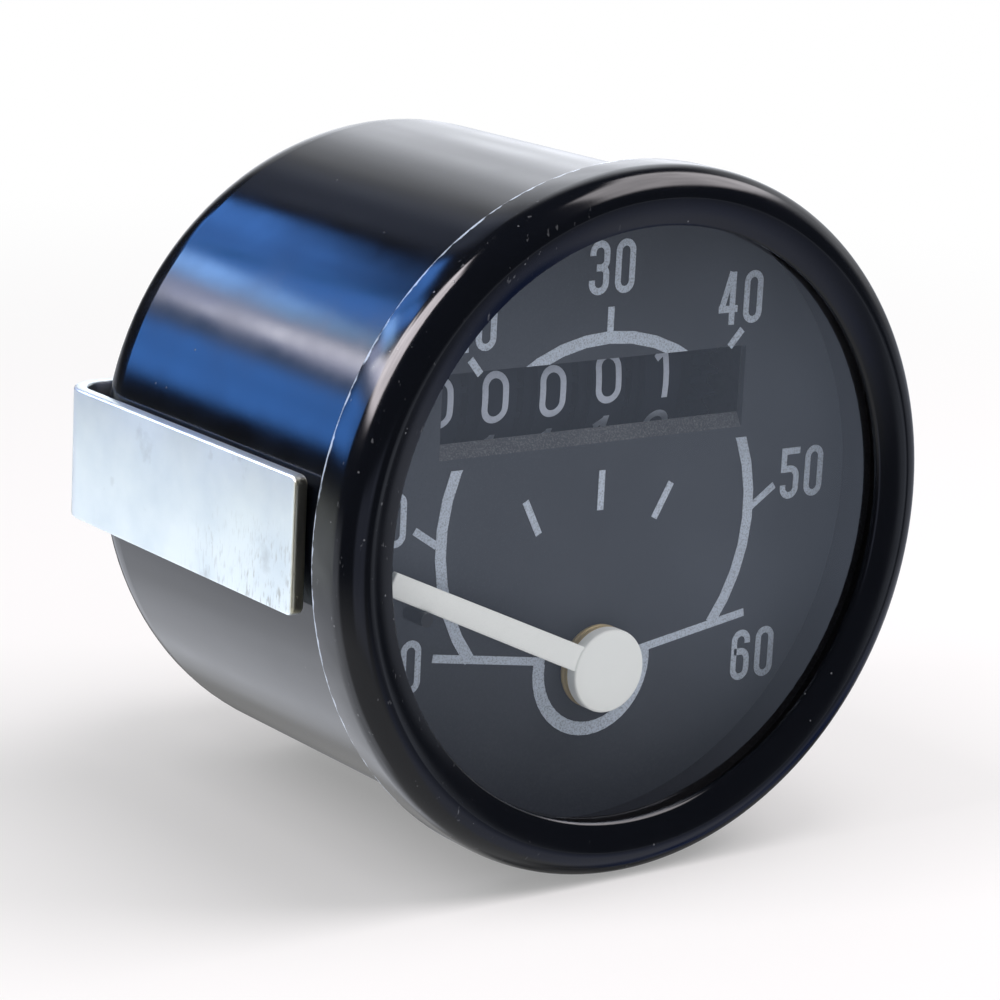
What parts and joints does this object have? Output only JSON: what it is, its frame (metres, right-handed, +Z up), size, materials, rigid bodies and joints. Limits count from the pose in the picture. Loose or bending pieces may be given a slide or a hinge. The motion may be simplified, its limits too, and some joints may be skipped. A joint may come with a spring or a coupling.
{
  "type": "vintage speedometer",
  "caption": "Small round moped speedometer: black can and rolled bezel, magnetic pointer, rolling distance counter, stirrup bracket and threaded cable neck",
  "frame": {"origin": "on the can's axis, in the plane where the bezel's rear edge bears on its panel", "axes": "+X to the right seen from the dial, +Y to the rear along the can, +Z up"},
  "size_m": [0.0508, 0.0478, 0.0508],
  "materials": {
    "black_paint": "gloss black stoved enamel on drawn steel",
    "glass": "clear flat glass",
    "seal_rubber": "soft black rubber",
    "dial_ring_black": "satin black",
    "dial_print": "matt charcoal with pale printed scale",
    "stop_black": "matt black",
    "pointer_white": "matt off-white paint",
    "brass": "turned brass, dulled",
    "bronze": "sintered bronze",
    "bright_steel": "turned bright steel",
    "bare_aluminium": "thin spun aluminium",
    "blued_spring": "blued spring steel",
    "magnet_grey": "dark grey sintered magnet",
    "zinc_casting": "die-cast zinc alloy, as cast",
    "gear_plastic": "natural nylon",
    "drum_black": "matt black moulded drum with pale figures",
    "plated_steel": "bright zinc-plated steel",
    "zinc_plate": "bright zinc-plated steel strip with bluish passivation"
  },
  "bodies": {
    "housing": {"case": "black_paint", "bezel": "black_paint", "glass": "glass", "glass_seal": "seal_rubber", "dial_ring": "dial_ring_black", "dial": "dial_print", "pointer_stop": "stop_black", "hairspring": "blued_spring", "hairspring_stud": "brass", "bridge": "brass", "spindle_bush": "bronze", "bridge_screws": "bright_steel", "drive_bush": "bronze", "thrust_washer": "bright_steel", "main_frame": "zinc_casting", "drum_axle": "bright_steel", "pinion_axle": "bright_steel", "cable_neck": "plated_steel", "mounting_studs": "plated_steel", "bracket": "zinc_plate", "spring_washers": "plated_steel", "bracket_nuts": "plated_steel", "case_screws": "plated_steel"},
    "pointer_group": {"pointer": "pointer_white", "pointer_collar": "brass", "pointer_spindle": "bright_steel", "speed_cup": "bare_aluminium", "hairspring_collet": "brass"},
    "drive_group": {"drive_shaft": "bright_steel", "magnet": "magnet_grey", "flux_cup": "bright_steel"},
    "cross_group": {"cross_shaft": "bright_steel", "cross_wheel": "gear_plastic"},
    "upright_group": {"upright_shaft": "bright_steel", "upright_wheel": "gear_plastic"},
    "units": {"drum_units": "drum_black", "units_wheel": "drum_black"},
    "tens": {"drum_tens": "drum_black"},
    "hundreds": {"drum_hundreds": "drum_black"},
    "thousands": {"drum_thousands": "drum_black"},
    "ten_thousands": {"drum_ten_thousands": "drum_black"},
    "pinion_tens": {"carry_pinion_tens": "gear_plastic"},
    "pinion_hundreds": {"carry_pinion_hundreds": "gear_plastic"},
    "pinion_thousands": {"carry_pinion_thousands": "gear_plastic"},
    "pinion_ten_thousands": {"carry_pinion_ten_thousands": "gear_plastic"}
  },
  "joints": [
    {"name": "pointer_sweep", "type": "hinge", "parent": "housing", "child": "pointer_group", "pos_m": [0, 0, -0.0112], "axis": [0, 1, 0], "range_deg": [0, 147], "stiffness_Nm_per_rad": 0.00004, "springref_deg": -17.19},
    {"name": "drive_spin", "type": "hinge", "parent": "housing", "child": "drive_group", "pos_m": [0, 0.02, -0.0112], "axis": [0, 1, 0], "continuous": true},
    {"name": "cross_spin", "type": "hinge", "parent": "housing", "child": "cross_group", "pos_m": [0, 0.02575, -0.0042], "axis": [1, 0, 0], "continuous": true},
    {"name": "upright_spin", "type": "hinge", "parent": "housing", "child": "upright_group", "pos_m": [0.011, 0.01875, 0], "axis": [0, 0, 1], "continuous": true},
    {"name": "units_roll", "type": "hinge", "parent": "housing", "child": "units", "pos_m": [0.00595, 0.0105, 0.0087], "axis": [1, 0, 0], "continuous": true},
    {"name": "tens_roll", "type": "hinge", "parent": "housing", "child": "tens", "pos_m": [0.0012, 0.0105, 0.0087], "axis": [1, 0, 0], "continuous": true},
    {"name": "hundreds_roll", "type": "hinge", "parent": "housing", "child": "hundreds", "pos_m": [-0.00355, 0.0105, 0.0087], "axis": [1, 0, 0], "continuous": true},
    {"name": "thousands_roll", "type": "hinge", "parent": "housing", "child": "thousands", "pos_m": [-0.0083, 0.0105, 0.0087], "axis": [1, 0, 0], "continuous": true},
    {"name": "ten_thousands_roll", "type": "hinge", "parent": "housing", "child": "ten_thousands", "pos_m": [-0.01305, 0.0105, 0.0087], "axis": [1, 0, 0], "continuous": true},
    {"name": "pinion_tens_spin", "type": "hinge", "parent": "housing", "child": "pinion_tens", "pos_m": [0.00358, 0.01635, 0.00173], "axis": [1, 0, 0], "continuous": true},
    {"name": "pinion_hundreds_spin", "type": "hinge", "parent": "housing", "child": "pinion_hundreds", "pos_m": [-0.00118, 0.01635, 0.00173], "axis": [1, 0, 0], "continuous": true},
    {"name": "pinion_thousands_spin", "type": "hinge", "parent": "housing", "child": "pinion_thousands", "pos_m": [-0.00592, 0.01635, 0.00173], "axis": [1, 0, 0], "continuous": true},
    {"name": "pinion_ten_thousands_spin", "type": "hinge", "parent": "housing", "child": "pinion_ten_thousands", "pos_m": [-0.01068, 0.01635, 0.00173], "axis": [1, 0, 0], "continuous": true}
  ],
  "couplings": [
    {"joint": "cross_spin", "follows": "drive_spin", "ratio": 0.05},
    {"joint": "upright_spin", "follows": "drive_spin", "ratio": 0.0025},
    {"joint": "units_roll", "follows": "drive_spin", "ratio": -0.0001},
    {"joint": "tens_roll", "follows": "drive_spin", "ratio": -0.00001},
    {"joint": "hundreds_roll", "follows": "drive_spin", "ratio": -0.000001},
    {"joint": "thousands_roll", "follows": "drive_spin", "ratio": -0.0000001},
    {"joint": "ten_thousands_roll", "follows": "drive_spin", "ratio": -0.00000001},
    {"joint": "pinion_tens_spin", "follows": "drive_spin", "ratio": 0.000025},
    {"joint": "pinion_hundreds_spin", "follows": "drive_spin", "ratio": 0.0000025},
    {"joint": "pinion_thousands_spin", "follows": "drive_spin", "ratio": 0.00000025},
    {"joint": "pinion_ten_thousands_spin", "follows": "drive_spin", "ratio": 0.000000025}
  ]
}
